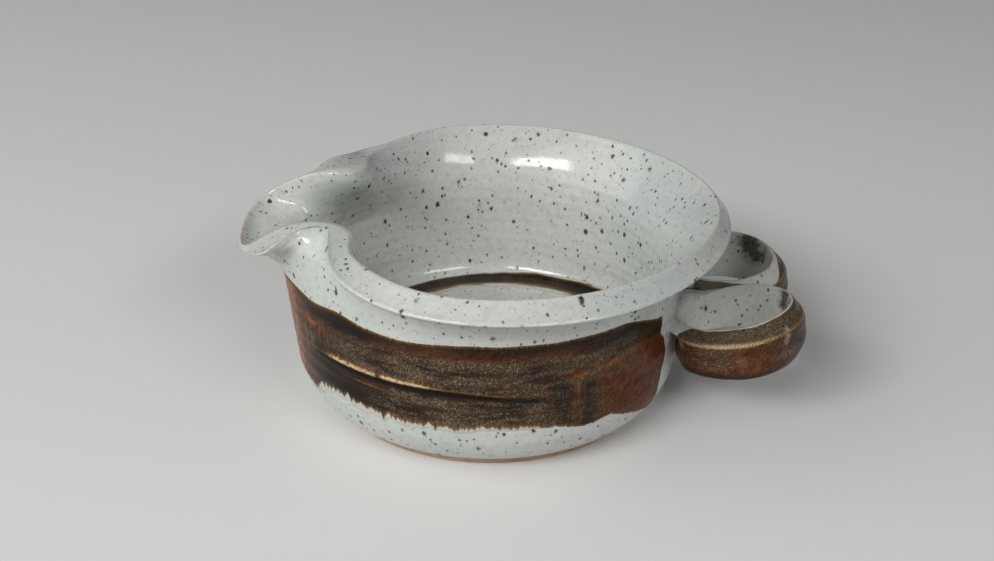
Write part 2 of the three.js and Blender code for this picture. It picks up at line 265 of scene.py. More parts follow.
outside_line = [
    *straight((0, 0), (54.2, 0), 16)[:-1],
    *stroke((54.2, 0), (foot_radius, 0), (55.6, 1.3), 6)[:-1],
    *straight((55.6, 1.3), (55.95, 2.2), 4)[:-1],
    *stroke((55.95, 2.2), (56.6, 2.3), (57.05, 2.9), 6)[:-1],
    *arc((wall_radius - belly_across, belly_height), belly_across, belly_up, -belly_start, 0, 22)[:-1],
    *straight((wall_radius, belly_height), (wall_radius, 27), 12)[:-1],
    *straight((wall_radius, 27), (wall_radius, 37), 32)[:-1],
    *straight((wall_radius, 37), (wall_radius, neck_start), 10)[:-1],
    *stroke((wall_radius, neck_start), (wall_radius, 60.6), (77.6, 63.45), 36)[:-1],
    *stroke((77.6, 63.45), (79.9, 63.9), (ledge_radius, 64.9), 10)[:-1],
    *stroke((ledge_radius, 64.9), (79.9, 65.5), (78.8, 66.05), 8)[:-1],
    *stroke((78.8, 66.05), (77.2, 67.5), (75.2, 69.4), 14)[:-1],
    *stroke((75.2, 69.4), (74.5, 70.1), (73.75, 69.8), 8)[:-1],
]
inside_line = [
    *stroke((73.75, 69.8), (73.2, 69.5), (72.4, 68.4), 7)[:-1],
    *stroke((72.4, 68.4), (inner_radius, 56.4), (inner_radius, mouth_start), 44)[:-1],
    *straight((inner_radius, mouth_start), (inner_radius, 21), 34)[:-1],
    *arc((floor_radius, 21), inner_radius - floor_radius, floor_corner_height, 0, -90, 16)[:-1],
    *straight((floor_radius, floor_height), (0, floor_height), 24),
]

bowl = bmesh.new()
squeeze_layer = bowl.verts.layers.float.new("squeeze")
inside_layer = bowl.verts.layers.float.new("inside")
edge_layer = bowl.verts.layers.float.new("edge")
down_layer = bowl.verts.layers.float.new("down")
lip_layer = bowl.verts.layers.float.new("lip")
turn_layer = bowl.verts.layers.float.new("turn")

profile = []
for place in outside_line:
    vert = bowl.verts.new((-place.x, 0, place.y))
    on_face = lerp(1, throat_follow, collar_share(place.x))
    vert[squeeze_layer] = on_face if place.y > ledge_height else neck_squeeze(place.x)
    profile.append(vert)
for place in inside_line:
    vert = bowl.verts.new((-place.x, 0, place.y))
    vert[squeeze_layer] = ramp(bowl_height - throat_depth, bowl_height, place.y)
    vert[inside_layer] = 1
    profile.append(vert)
top_edge = Vector((-top_radius, 0, top_height))
ledge_edge = Vector((-79.9, 0, 64.9))
for vert in profile:
    from_top = (vert.co - top_edge).length
    from_ledge = (vert.co - ledge_edge).length
    vert[down_layer] = from_top
    vert[edge_layer] = bell(from_top, 0, top_wear_highlight_width) + ledge_wear_highlight * bell(from_ledge, 0, ledge_wear_highlight_width)
line = [bowl.edges.new(pair) for pair in zip(profile, profile[1:])]
bmesh.ops.spin(
    bowl,
    geom=profile + line,
    cent=(0, 0, 0),
    axis=(0, 0, 1),
    angle=math.tau,
    steps=bowl_steps,
    use_merge=True,
)
for vert in bowl.verts:
    radius = math.hypot(vert.co.x, vert.co.y)
    around = math.atan2(vert.co.y, -vert.co.x)
    turn = math.degrees(around - spout_crowding * math.sin(around))
    height = vert.co.z
    inside = vert[inside_layer] > 0.5
    vert[turn_layer] = turn
    vert[lip_layer] = bell(turn, 0, pink_spread)
    if inside:
        on_side = ramp(14, 20, height) * ramp(62, 50, height)
        radius += inner_ring_depth * on_side * finger_rings(turn, height, inner_ring_pitch)
    elif height > foot_height:
        radius += wall_marks(turn, height)
        hollow = bell(radius, hollow_radius, hollow_width) * ramp(ledge_height, hollow_height, height)
        radius -= ledge_hollow * hollow * bell(abs(turn), hollow_angle, hollow_spread)
    vert.co = pull_spout(radius, turn, height, vert[squeeze_layer], inside)


def new_node(tree, kind, inputs=None, **settings):
    """A shader node with its settings. An input is a plain value or another node's output."""
    node = tree.nodes.new(kind)
    for name, value in settings.items():
        setattr(node, name, value)
    for key, value in (inputs or {}).items():
        if isinstance(value, bpy.types.NodeSocket):
            tree.links.new(value, node.inputs[key])
        else:
            node.inputs[key].default_value = value
    return node


def calc(tree, operation, first, second=0.0):
    """Result of a math node."""
    return new_node(tree, "ShaderNodeMath", {0: first, 1: second}, operation=operation).outputs[0]


def vector_calc(tree, operation, first, second):
    """Result of a vector math node."""
    return new_node(tree, "ShaderNodeVectorMath", {0: first, 1: second}, operation=operation).outputs[0]


def fade(tree, value, low, high, start=0.0, end=1.0):
    """Smooth step of a value from start at the low end to end at the high end."""
    inputs = {"Value": value, "From Min": low, "From Max": high, "To Min": start, "To Max": end}
    node = new_node(tree, "ShaderNodeMapRange", inputs, interpolation_type="SMOOTHSTEP")
    return node.outputs["Result"]


def blend(tree, share, first, second):
    """Mix of two colours, each a plain linear colour or another node's output."""
    node = tree.nodes.new("ShaderNodeMix")
    node.data_type = "RGBA"
    sockets = {"Factor_Float": share, "A_Color": first, "B_Color": second}
    for socket in node.inputs:
        value = sockets.get(socket.identifier)
        if isinstance(value, bpy.types.NodeSocket):
            tree.links.new(value, socket)
        elif isinstance(value, tuple):
            socket.default_value = (*value, 1)
        elif value is not None:
            socket.default_value = value
    return next(socket for socket in node.outputs if socket.identifier == "Result_Color")


def cloud(tree, place, scale, detail=2.0, roughness=0.5):
    """Value of a noise texture."""
    inputs = {"Vector": place, "Scale": scale, "Detail": detail, "Roughness": roughness}
    return new_node(tree, "ShaderNodeTexNoise", inputs).outputs["Fac"]


def stretched_cloud(tree, place, scales, detail, roughness):
    """Value of a noise texture with a scale of its own along each axis."""
    return cloud(tree, vector_calc(tree, "MULTIPLY", place, scales), 1.0, detail, roughness)


def attribute(tree, name, output="Fac"):
    """A value stored on the mesh."""
    return new_node(tree, "ShaderNodeAttribute", attribute_name=name).outputs[output]


def new_group(name, inputs, outputs):
    """An empty shader node group with its own sockets."""
    tree = bpy.data.node_groups.new(name, "ShaderNodeTree")
    for socket, kind in inputs.items():
        tree.interface.new_socket(socket, in_out="INPUT", socket_type=f"NodeSocket{kind}")
    for socket, kind in outputs.items():
        tree.interface.new_socket(socket, in_out="OUTPUT", socket_type=f"NodeSocket{kind}")
    start = tree.nodes.new("NodeGroupInput")
    end = tree.nodes.new("NodeGroupOutput")
    return tree, start.outputs, end.inputs


def put_out(tree, made, results):
    """Joins results to a group's outputs by name."""
    for name, result in results.items():
        tree.links.new(result, made[name])


def use_group(tree, group, inputs):
    """Outputs of a node group put into a tree."""
    return new_node(tree, "ShaderNodeGroup", inputs, node_tree=group).outputs


def new_material(name, build, gloss):
    """A glazed material. build(tree) gives its colour, roughness and bump height."""
    material = bpy.data.materials.new(name)
    material.use_nodes = True
    tree = material.node_tree
    colour, roughness, height = build(tree)
    shader = tree.nodes["Principled BSDF"]
    shader.inputs["Specular IOR Level"].default_value = gloss
    tree.links.new(colour, shader.inputs["Base Color"])
    tree.links.new(roughness, shader.inputs["Roughness"])
    bump = new_node(tree, "ShaderNodeBump", {"Height": height, "Strength": 0.5, "Distance": 0.0002})
    tree.links.new(bump.outputs["Normal"], shader.inputs["Normal"])
    return material


def iron_speckle():
    """Spots of iron that melt through the glaze.

    Reach is a spot's radius and Share how many cells have a spot.
    """
    sockets = {"Vector": "Vector", "Scale": "Float", "Reach": "Float", "Share": "Float"}
    tree, given, made = new_group("iron_speckle", sockets, {"Spot": "Float", "Tone": "Float"})
    cells = new_node(tree, "ShaderNodeTexVoronoi", {"Vector": given["Vector"], "Scale": given["Scale"]})
    chance = new_node(tree, "ShaderNodeSeparateColor", {0: cells.outputs["Color"]}).outputs
    size = fade(tree, chance[1], 0.0, 1.0, 0.4, 1.0)
    reach = calc(tree, "MULTIPLY", given["Reach"], size)
    core = calc(tree, "MULTIPLY", reach, 0.55)
    spot = fade(tree, cells.outputs["Distance"], reach, core)
    present = calc(tree, "LESS_THAN", chance[0], given["Share"])
    put_out(tree, made, {"Spot": calc(tree, "MULTIPLY", spot, present), "Tone": chance[2]})
    return tree


speckle_group = iron_speckle()
# Each kind of spot by its cells in a metre, its radius in cells and the share of cells that have one.
dust_spots = (760.0, 0.27, 0.75)
small_spots = (390.0, 0.28, 0.85)
large_spots = (225.0, 0.25, 0.6)
halo_spots = (225.0, 0.38, 0.25)
glaze_cool = (0.53, 0.565, 0.535)
glaze_warm = (0.595, 0.595, 0.56)
glaze_shade = (0.41, 0.445, 0.425)
halo_tan = (0.33, 0.26, 0.15)
dust_grey = (0.17, 0.165, 0.125)
small_dark = (0.022, 0.02, 0.014)
small_light = (0.17, 0.15, 0.10)
large_dark = (0.01, 0.009, 0.007)
large_light = (0.06, 0.045, 0.025)
glaze_sockets = {"Color": "Color", "Roughness": "Float", "Height": "Float"}


def speckles(tree, place, kind):
    scale, reach, share = kind
    return use_group(tree, speckle_group, {"Vector": place, "Scale": scale, "Reach": reach, "Share": share})


def pale_glaze():
    """Pale grey-white glaze with iron speckles that ran a little, from the place on the pot in metres."""
    tree, given, made = new_group("pale_glaze", {"Vector": "Vector"}, glaze_sockets)
    place = given["Vector"]
    wander = new_node(tree, "ShaderNodeTexNoise", {"Vector": place, "Scale": 1300.0, "Detail": 3.0})
    centred = vector_calc(tree, "SUBTRACT", wander.outputs["Color"], (0.5, 0.5, 0.5))
    shift = vector_calc(tree, "MULTIPLY", centred, (0.0011, 0.0011, 0.0011))
    moved = vector_calc(tree, "ADD", place, shift)
    rough_place = vector_calc(tree, "MULTIPLY", moved, (1.0, 1.0, 0.78))
    tint = cloud(tree, place, 24.0, 3.0)
    colour = blend(tree, fade(tree, tint, 0.35, 0.65), glaze_cool, glaze_warm)
    mottle = cloud(tree, place, 420.0, 4.0, 0.65)
    colour = blend(tree, fade(tree, mottle, 0.4, 0.75, 0.0, 0.55), colour, glaze_shade)
    halo = speckles(tree, rough_place, halo_spots)
    colour = blend(tree, calc(tree, "MULTIPLY", halo["Spot"], 0.4), colour, halo_tan)
    dust = speckles(tree, rough_place, dust_spots)
    colour = blend(tree, calc(tree, "MULTIPLY", dust["Spot"], 0.6), colour, dust_grey)
    small = speckles(tree, rough_place, small_spots)
    small_tone = blend(tree, small["Tone"], small_dark, small_light)
    colour = blend(tree, calc(tree, "MULTIPLY", small["Spot"], 0.9), colour, small_tone)
    large = speckles(tree, rough_place, large_spots)
    large_tone = blend(tree, large["Tone"], large_dark, large_light)
    colour = blend(tree, calc(tree, "MULTIPLY", large["Spot"], 0.96), colour, large_tone)
    spots = calc(tree, "MAXIMUM", large["Spot"], small["Spot"])
    uneven_gloss = fade(tree, mottle, 0.3, 0.7, 0.09, 0.17)
    roughness = calc(tree, "ADD", uneven_gloss, calc(tree, "MULTIPLY", spots, 0.1))
    height = calc(tree, "SUBTRACT", calc(tree, "MULTIPLY", cloud(tree, place, 260.0, 3.0), 0.5), spots)
    put_out(tree, made, {"Color": colour, "Roughness": roughness, "Height": height})
    return tree


pale_group = pale_glaze()
worn_edge_highlight = (0.70, 0.66, 0.59)
pink_edge = (0.58, 0.46, 0.40)
lip_stroke = (0.16, 0.12, 0.09)
clay_dark = (0.30, 0.185, 0.115)
clay_light = (0.62, 0.43, 0.30)
clay_toasted = (0.40, 0.20, 0.11)
wire_mark = (0.20, 0.125, 0.08)
crawl_brown = (0.10, 0.06, 0.035)


def bowl_finish(tree):
    """Pale glaze that thins to tan at the sharp edges, lightened there as a painted highlight, over a bare
    clay foot with the wire's marks.
    """
    place = new_node(tree, "ShaderNodeTexCoord").outputs["Object"]
    glaze = use_group(tree, pale_group, {"Vector": place})
    edge = attribute(tree, "edge")
    lip = attribute(tree, "lip")
    crumbs = cloud(tree, place, 900.0, 3.0, 0.6)
    # The light edge colour is worn glaze and also a painted highlight along the crest and the ledge.
    worn = calc(tree, "MULTIPLY", edge, fade(tree, crumbs, 0.42, 0.62))
    colour = blend(tree, calc(tree, "MULTIPLY", worn, 0.6), glaze["Color"], worn_edge_highlight)
    pink = calc(tree, "MULTIPLY", calc(tree, "MULTIPLY", edge, lip), 0.7)
    colour = blend(tree, pink, colour, pink_edge)
    lines = new_node(tree, "ShaderNodeCombineXYZ", {"X": attribute(tree, "turn")}).outputs[0]
    comb = cloud(tree, lines, 0.75, 4.0, 0.8)
    near_edge = fade(tree, attribute(tree, "down"), 4.5, 0.6)
    strokes = calc(tree, "MULTIPLY", fade(tree, comb, 0.53, 0.62), calc(tree, "MULTIPLY", near_edge, lip))
    colour = blend(tree, calc(tree, "MULTIPLY", strokes, 0.7), colour, lip_stroke)
    height_up = new_node(tree, "ShaderNodeSeparateXYZ", {0: place}).outputs["Z"]
    wavering = calc(tree, "MULTIPLY", cloud(tree, place, 90.0, 4.0), 0.0012)
    level = calc(tree, "ADD", height_up, wavering)
    bare = fade(tree, level, 0.0033, 0.0029)
    grain = cloud(tree, place, 1500.0, 4.0, 0.7)
    clay = blend(tree, grain, clay_dark, clay_light)
    toasted = fade(tree, cloud(tree, place, 40.0, 4.0, 0.6), 0.38, 0.66, 0.0, 0.6)
    clay = blend(tree, toasted, clay, clay_toasted)
    wire_cut = stretched_cloud(tree, place, (25.0, 650.0, 1.0), 4.0, 0.6)
    clay = blend(tree, fade(tree, wire_cut, 0.48, 0.68, 0.0, 0.45), clay, wire_mark)
    colour = blend(tree, bare, colour, clay)
    crawl = calc(tree, "MULTIPLY", fade(tree, level, 0.0027, 0.0031), fade(tree, level, 0.0036, 0.0032))
    dashes = calc(tree, "MULTIPLY", crawl, fade(tree, cloud(tree, place, 210.0, 3.0), 0.42, 0.6))
    colour = blend(tree, calc(tree, "MULTIPLY", dashes, 0.85), colour, crawl_brown)
    roughness = calc(tree, "MAXIMUM", glaze["Roughness"], calc(tree, "MULTIPLY", bare, 0.85))
    clay_height = calc(tree, "ADD", grain, wire_cut)
    height = calc(tree, "ADD", glaze["Height"], calc(tree, "MULTIPLY", bare, clay_height))
    return colour, roughness, height


def new_piece(shape, name, material):
    """A smooth-shaded object, in metres, of a shape in millimetres."""
    bmesh.ops.remove_doubles(shape, verts=shape.verts, dist=1e-4)
    bmesh.ops.recalc_face_normals(shape, faces=shape.faces)
    bmesh.ops.scale(shape, vec=(mm, mm, mm), verts=shape.verts)
    mesh = bpy.data.meshes.new(name)
    shape.to_mesh(mesh)
    shape.free()
    mesh.shade_smooth()
    mesh.materials.append(material)
    piece = bpy.data.objects.new(name, mesh)
    bpy.context.collection.objects.link(piece)
    return piece


thrown_bowl = new_piece(bowl, "thrown_bowl", new_material("pale_glaze", bowl_finish, pale_gloss))
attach(thrown_bowl, "root")
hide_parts("bowl_body")

# Brown band. A second glaze, rich in iron, laid over the pale one round the wall while the bowl turned and
# left open at the loops. It ran in the kiln, so its lower edge is ragged, and it broke to cream on the ridge.
# Where it is red, flecked or black is given by angles from the spout and heights on the wall.
cm = 10
band_end = 150
band_bottom = 17.2
band_top = 49.9
band_columns = 460
band_rows = 94
band_skin = 0.5
glaze_lift = 0.25
glaze_root = 0.12
glaze_edge_width = 1.6
brown_gloss = 0.14
on_wall = [place for place in outside_line if place.y > foot_height and place.x < ledge_radius - 3]
on_wall_heights = [place.y for place in on_wall]


def wall_radius_at(height):
    """Radius of the bowl's outside at a height below the ledge."""
    above = min(max(bisect.bisect(on_wall_heights, height), 1), len(on_wall) - 1)
    first, second = on_wall[above - 1], on_wall[above]
    return lerp(first.x, second.x, (height - first.y) / (second.y - first.y))


def uneven(value, seed):
    """Hand-made unevenness between -1 and 1."""
    return noise.noise(Vector((value, seed, 0.5)))


def band_bottom_at(turn):
    """Height of the band's lower edge, which ran most at the left and falls away at the loops."""
    angle = abs(turn)
    level = band_bottom - 4.3 * ramp(37, 28, angle) + 1.4 * bell(angle, 98, 12) - 1.2 * ramp(105, 118, angle)
    level += 1.2 * bell(angle, 126, 3) - 7.6 * ramp(124, 152, angle) + 3 * ramp(144, 151, angle) ** 2
    running = 1.5 * uneven(turn * 0.24, 3) + 1.3 * uneven(turn * 0.9, 7)
    waving = 0.7 * uneven(turn * 0.11, 5) + 0.3 * uneven(turn * 0.6, 9)
    return level + lerp(waving, running, ramp(100, 62, angle))


def band_top_at(turn):
    """Height of the band's upper edge, which rises to the spout and falls at the loops."""
    angle = abs(turn)
    level = band_top + 2.6 * ramp(34, 10, angle) + bell(angle, 44, 7) - 1.3 * bell(angle, 65, 10)
    level -= 6 * ramp(128, 151, angle)
    return level + 0.35 * uneven(turn * 0.12, 13) + 0.1 * uneven(turn * 0.6, 17)


def band_end_at(height, side):
    """Angle at which the band ends, before the loops."""
    swell = 4 * bell(height, 27.8, 7) - 1.2 * bell(height, 37.5, 2)
    return band_end + swell + 0.6 * uneven(height * 0.3, 20 + side)


def glaze_thickness(inset):
    """How far a brown glaze stands off the surface, by the distance from its edge."""
    return lerp(-glaze_root, glaze_lift, ramp(0, glaze_edge_width, inset))


def rim_at(turn, inset, above_bottom):
    """Distance from the band's edge, cut short where the glaze ran out in feathers and drips."""
    angle = abs(turn)
    feathered = lerp(1, 0.42, ramp(118, 96, angle)) * above_bottom
    drips = ramp(112, 70, angle) * ramp(6, 0, above_bottom)
    return min(inset, feathered) - 1.1 * drips * (0.5 + 0.5 * uneven(turn * 1.9, 11))


def low_on_band(height):
    return ramp(15, 19, height) * ramp(36, 33, height)


def rust_at(turn, height):
    """Where the iron turned red: by the spout, by the loops and in a line under the upper edge."""
    angle = abs(turn)
    top = lerp(37, 40, ramp(112, 134, angle)) - 3 * ramp(138, 150, angle)
    by_loops = max(ramp(119, 126, angle), ramp(110, 114, angle) * ramp(33, 36, height))
    right = ramp(top + 2.4, top - 2.4, height) * by_loops
    right += 0.4 * bell(height, top - 1.2, 2) * ramp(110, 115, angle) * ramp(138, 126, angle)
    stripes = bell(angle, 115, 1.5) + 0.8 * bell(angle, 122, 1.4) + 0.5 * bell(angle, 105, 1.2)
    under_edge = 0.5 * bell(height, 44.5, 2.2) * ramp(50, 62, angle) * ramp(130, 104, angle)
    orange_patch = 1.25 * bell(angle, 33, 7) * bell(height, 41.5, 3)
    left = ramp(38, 18, angle) * (0.75 + 0.75 * bell(angle, 18, 8) + 0.25 * uneven(turn * 0.11, 23))
    return max(left, right, low_on_band(height) * stripes, under_edge, orange_patch)


def flecks_at(turn, height, above_bottom):
    """Where crystals grew: in belts above and below the groove, at the lower right and under the spout."""
    angle = abs(turn)
    groove = groove_line(turn)
    upper = ramp(groove, groove + 1.5, height) * ramp(46, 42, height) * ramp(36, 54, angle)
    lower = ramp(31, 29.5, height) * ramp(50, 64, angle) * ramp(128, 118, angle)
    striped = low_on_band(height) * ramp(103, 110, angle)
    belts = max(upper, lower) * ramp(152, 116, angle) * (1 - 0.5 * striped)
    golden = 0.8 * ramp(6, 2, above_bottom) * ramp(110, 120, angle) * ramp(148, 138, angle)
    under_spout = 0.7 * ramp(17, 7, angle) * ramp(22, 34, height)
    return 0.12 + 0.88 * max(belts, golden, under_spout)


def streak_at(turn, height):
    """Where the glaze ran down the wall in threads."""
    angle = abs(turn)
    groove = groove_line(turn)
    hairs = ramp(60, 40, angle) * ramp(45, 41, height) * ramp(groove - 1, groove + 1, height)
    return max(0.9 * hairs, 0.4 * ramp(46, 32, angle), 0.7 * low_on_band(height) * bell(angle, 114, 9))


def unbroken(turn):
    """The cream line is whole but for one short gap."""
    return 1 - bell(-turn, 58.5, 0.7)


def cream_at(turn, height):
    """Where the glaze broke to cream: on the ridge above the groove, and in a short line below it."""
    front = -turn
    groove = groove_line(turn)
    width = lerp(1.1, 0.6, ramp(60, 84, front))
    strength = ramp(37, 43, front) * lerp(1, 0.45, ramp(68, 80, front)) * ramp(104, 90, front)
    ridge = strength * unbroken(turn) * bell(height, groove + 0.55 + width / 3, width)
    return max(ridge, 0.5 * bell(height, groove - 3.6, 0.5) * bell(front, 55, 8))


def fringe_at(turn, height, above_bottom):
    """Where the glaze thins to threads: hanging over the cream line, and at the lower edge."""
    front = -turn
    groove = groove_line(turn)
    hanging = ramp(groove + 6, groove + 0.6, height) * ramp(groove - 0.4, groove + 0.3, height)
    over_line = 1.15 * ramp(34, 43, front) * ramp(92, 74, front) * unbroken(turn) * hanging
    at_bottom = ramp(7, 0.8, above_bottom) * lerp(1.3, 0.6, ramp(46, 74, abs(turn)))
    return max(over_line, at_bottom)


def black_at(turn, height, top):
    """Where the glaze lies thick: in the groove, at the left under the edge and low, and in two runs."""
    angle = abs(turn)
    front = -turn
    in_groove = ramp(34, 46, front) * ramp(112, 102, front) * bell(height, groove_line(turn) - 0.9, 0.75)
    left = ramp(66, 52, angle)
    under_edge = 0.8 * bell(height, top - 3, 1.5) * lerp(0.5, 1, ramp(20, 31, angle)) * left
    low = 0.5 * ramp(30, 27, height) * ramp(28, 38, angle) * left
    runs = ramp(36, 27, height) * (bell(angle, 111.5, 1.4) + bell(angle, 118.4, 2))
    return max(in_groove, under_edge, low, 0.6 * runs * (0.7 + 0.5 * uneven(height * 0.35, 21)))


band = bmesh.new()
band_paint = {
    name: band.verts.layers.float.new(name)
    for name in ("rim", "rust", "flecks", "streak", "cream", "fringe", "black")
}
band_pattern = band.verts.layers.float_vector.new("pattern")
bmesh.ops.create_grid(band, x_segments=band_columns, y_segments=band_rows, size=0.5)
for vert in band.verts:
    flat_turn = vert.co.x * 2 * band_end
    side = math.copysign(1, flat_turn)
    bottom, top = band_bottom_at(flat_turn), band_top_at(flat_turn)
    height = lerp(bottom, top, vert.co.y + 0.5)
    end = band_end_at(height, side)
    turn = flat_turn + side * (end - band_end) * ramp(100, band_end, abs(flat_turn))
    radius = wall_radius_at(height)
    above_bottom = height - bottom
    inset = min(above_bottom, top - height, math.radians(end - abs(turn)) * radius)
    paint = {
        "rim": rim_at(turn, inset, above_bottom),
        "rust": rust_at(turn, height),
        "flecks": flecks_at(turn, height, above_bottom),
        "streak": streak_at(turn, height),
        "cream": cream_at(turn, height),
        "fringe": fringe_at(turn, height, above_bottom),
        "black": black_at(turn, height, top),
    }
    for name, value in paint.items():
        vert[band_paint[name]] = value
    vert[band_pattern] = (math.radians(turn) * wall_radius / cm, height / cm, 0)
    lifted = radius + wall_marks(turn, height) + glaze_thickness(inset)
    vert.co = pull_spout(lifted, turn, height, neck_squeeze(radius))

thick_black = (0.0065, 0.004, 0.003)
thick_brown = (0.042, 0.019, 0.009)
rust_dark = (0.022, 0.0055, 0.002)
rust_red = (0.15, 0.036, 0.006)
rust_light = (0.25, 0.078, 0.02)
rust_grit = (0.24, 0.10, 0.032)
rust_orange = (0.36, 0.12, 0.027)
run_tan = (0.21, 0.09, 0.03)
run_olive = (0.19, 0.165, 0.10)
run_dark = (0.007, 0.004, 0.003)
crystal_ground = (0.068, 0.048, 0.03)
crystal_gold = (0.36, 0.235, 0.12)
crystal_grey = (0.27, 0.27, 0.205)
crystal_red = (0.25, 0.085, 0.03)
groove_black = (0.005, 0.003, 0.0025)
thin_amber = (0.17, 0.083, 0.022)
thin_cream = (0.58, 0.45, 0.265)
thin_pale = (0.50, 0.50, 0.455)
brush_slant = -0.55
brush_size = (0.6, 0.11, 1.0)


def brown_glaze():
    """Iron glaze by centimetres: black where thick, rusty or flecked, amber and cream where thin."""
    values = ("Rim", "Rust", "Flecks", "Streak", "Cream", "Black")
    sockets = {"Vector": "Vector"} | {name: "Float" for name in values}
    tree, given, made = new_group("brown_glaze", sockets, glaze_sockets)
    place = given["Vector"]
    runs = stretched_cloud(tree, place, (9.0, 1.0, 1.0), 5.0, 0.7)
    clouds = stretched_cloud(tree, place, (0.5, 1.8, 1.0), 5.0, 0.6)
    layers = stretched_cloud(tree, place, (0.7, 3.4, 1.0), 5.0, 0.65)
    patches = stretched_cloud(tree, place, (1.3, 1.1, 1.0), 4.0, 0.6)
    mottle = stretched_cloud(tree, place, (6.0, 4.0, 4.0), 6.0, 0.75)
    clumps = stretched_cloud(tree, place, (5.0, 4.0, 4.0), 4.0, 0.65)
    grit = cloud(tree, place, 34.0, 2.0, 0.6)
    cells = vector_calc(tree, "MULTIPLY", place, (31.0, 24.0, 28.0))
    crystals = new_node(tree, "ShaderNodeTexVoronoi", {"Vector": cells, "Scale": 1.0})
    kind = new_node(tree, "ShaderNodeSeparateColor", {0: crystals.outputs["Color"]}).outputs
    colour = blend(tree, fade(tree, clouds, 0.38, 0.7), thick_black, thick_brown)
    streaky = calc(tree, "MULTIPLY", calc(tree, "SUBTRACT", runs, mottle), given["Streak"])
    slant = {"Vector": place, "Rotation": (0, 0, brush_slant), "Scale": brush_size}
    slanted = new_node(tree, "ShaderNodeMapping", slant, vector_type="TEXTURE").outputs[0]
    brushed = calc(tree, "SUBTRACT", cloud(tree, slanted, 1.0, 4.0, 0.7), 0.5)
    strokes = calc(tree, "ADD", streaky, calc(tree, "MULTIPLY", brushed, 0.8))
    grain = calc(tree, "ADD", mottle, strokes)
    rusty = blend(tree, fade(tree, grain, 0.34, 0.64), rust_dark, rust_red)
    rusty = blend(tree, fade(tree, patches, 0.52, 0.78, 0.0, 0.75), rusty, rust_light)
    rusty = blend(tree, fade(tree, grit, 0.55, 0.75, 0.0, 0.5), rusty, rust_grit)
    bright_rust = fade(tree, given["Rust"], 1.0, 1.5)
    orange_share = calc(tree, "MULTIPLY", bright_rust, fade(tree, grain, 0.4, 0.6, 0.15, 1.0))
    rusty = blend(tree, orange_share, rusty, rust_orange)
    rust_share = calc(tree, "MULTIPLY", given["Rust"], fade(tree, patches, 0.25, 0.5, 0.65, 1.0))
    colour = blend(tree, rust_share, colour, rusty)
    lively = calc(tree, "MULTIPLY", given["Streak"], fade(tree, patches, 0.34, 0.54, 0.3, 1.0))
    tan_share = calc(tree, "MULTIPLY", lively, fade(tree, runs, 0.52, 0.66, 0.0, 0.8))
    colour = blend(tree, tan_share, colour, blend(tree, patches, run_tan, run_olive))
    dark_share = calc(tree, "MULTIPLY", given["Streak"], fade(tree, runs, 0.47, 0.37, 0.0, 0.85))
    colour = blend(tree, dark_share, colour, run_dark)
    in_layers = fade(tree, layers, 0.36, 0.6, 0.1, 1.2)
    drifts = calc(tree, "MULTIPLY", in_layers, fade(tree, clumps, 0.3, 0.66, 0.55, 1.15))
    gathered = calc(tree, "MULTIPLY", given["Flecks"], drifts)
    colour = blend(tree, calc(tree, "MULTIPLY", gathered, 0.65), colour, crystal_ground)
    bright = calc(tree, "MULTIPLY", fade(tree, kind[0], 0.45, 1.0), fade(tree, grit, 0.38, 0.6))
    fleck_share = calc(tree, "MULTIPLY", bright, gathered)
    fleck_colour = blend(tree, kind[1], crystal_gold, crystal_grey)
    fleck_colour = blend(tree, fade(tree, kind[2], 0.74, 0.8), fleck_colour, crystal_red)
    colour = blend(tree, fleck_share, colour, fleck_colour)
    colour = blend(tree, given["Black"], colour, groove_black)
    rim = calc(tree, "ADD", given["Rim"], fade(tree, runs, 0.25, 0.75, -0.35, 0.45))
    at_rim = fade(tree, rim, 1.7, 0.7, 0.0, 0.85)
    amber_share = calc(tree, "MAXIMUM", at_rim, fade(tree, given["Cream"], 0.1, 0.55))
    colour = blend(tree, amber_share, colour, thin_amber)
    colour = blend(tree, fade(tree, given["Cream"], 0.45, 0.95), colour, thin_cream)
    colour = blend(tree, fade(tree, rim, 0.8, 0.25), colour, thin_pale)
    uneven_gloss = fade(tree, grit, 0.3, 0.7, 0.24, 0.36)
    roughness = calc(tree, "ADD", uneven_gloss, calc(tree, "MULTIPLY", fleck_share, 0.15))
    height = calc(tree, "ADD", calc(tree, "MULTIPLY", grit, 0.4), calc(tree, "MULTIPLY", runs, 0.4))
    put_out(tree, made, {"Color": colour, "Roughness": roughness, "Height": height})
    return tree


brown_group = brown_glaze()


def painted(tree, *names):
    """Values painted on the mesh, under the names of the brown glaze's inputs."""
    return {name.title(): attribute(tree, name) for name in names}


def band_finish(tree):
    """Brown glaze that thins to threads at its lower edge and over the cream line."""
    pattern = attribute(tree, "pattern", "Vector")
    hairs = fade(tree, stretched_cloud(tree, pattern, (5.0, 0.6, 1.0), 6.0, 0.85), 0.4, 0.66)
    gathers = fade(tree, cloud(tree, pattern, 1.6, 3.0, 0.6), 0.34, 0.6, 0.45, 1.1)
    fringe = calc(tree, "MULTIPLY", attribute(tree, "fringe"), gathers)
    deep = calc(tree, "MULTIPLY", fringe, fringe)
    feathers = calc(tree, "MULTIPLY", deep, calc(tree, "MULTIPLY", hairs, 0.66))
    melting = stretched_cloud(tree, pattern, (7.0, 9.0, 1.0), 4.0, 0.7)
    cream_line = calc(tree, "MULTIPLY", attribute(tree, "cream"), fade(tree, melting, 0.34, 0.6, 0.5, 1.15))
    combed = stretched_cloud(tree, pattern, (6.5, 0.6, 1.0), 5.0, 0.8)
    gaps = calc(tree, "MULTIPLY", deep, fade(tree, combed, 0.6, 0.34, 0.0, 1.8))
    given = painted(tree, "rust", "flecks", "streak", "black")
    given["Vector"] = pattern
    given["Rim"] = calc(tree, "SUBTRACT", attribute(tree, "rim"), gaps)
    given["Cream"] = calc(tree, "MAXIMUM", cream_line, feathers)
    glaze = use_group(tree, brown_group, given)
    return glaze["Color"], glaze["Roughness"], glaze["Height"]


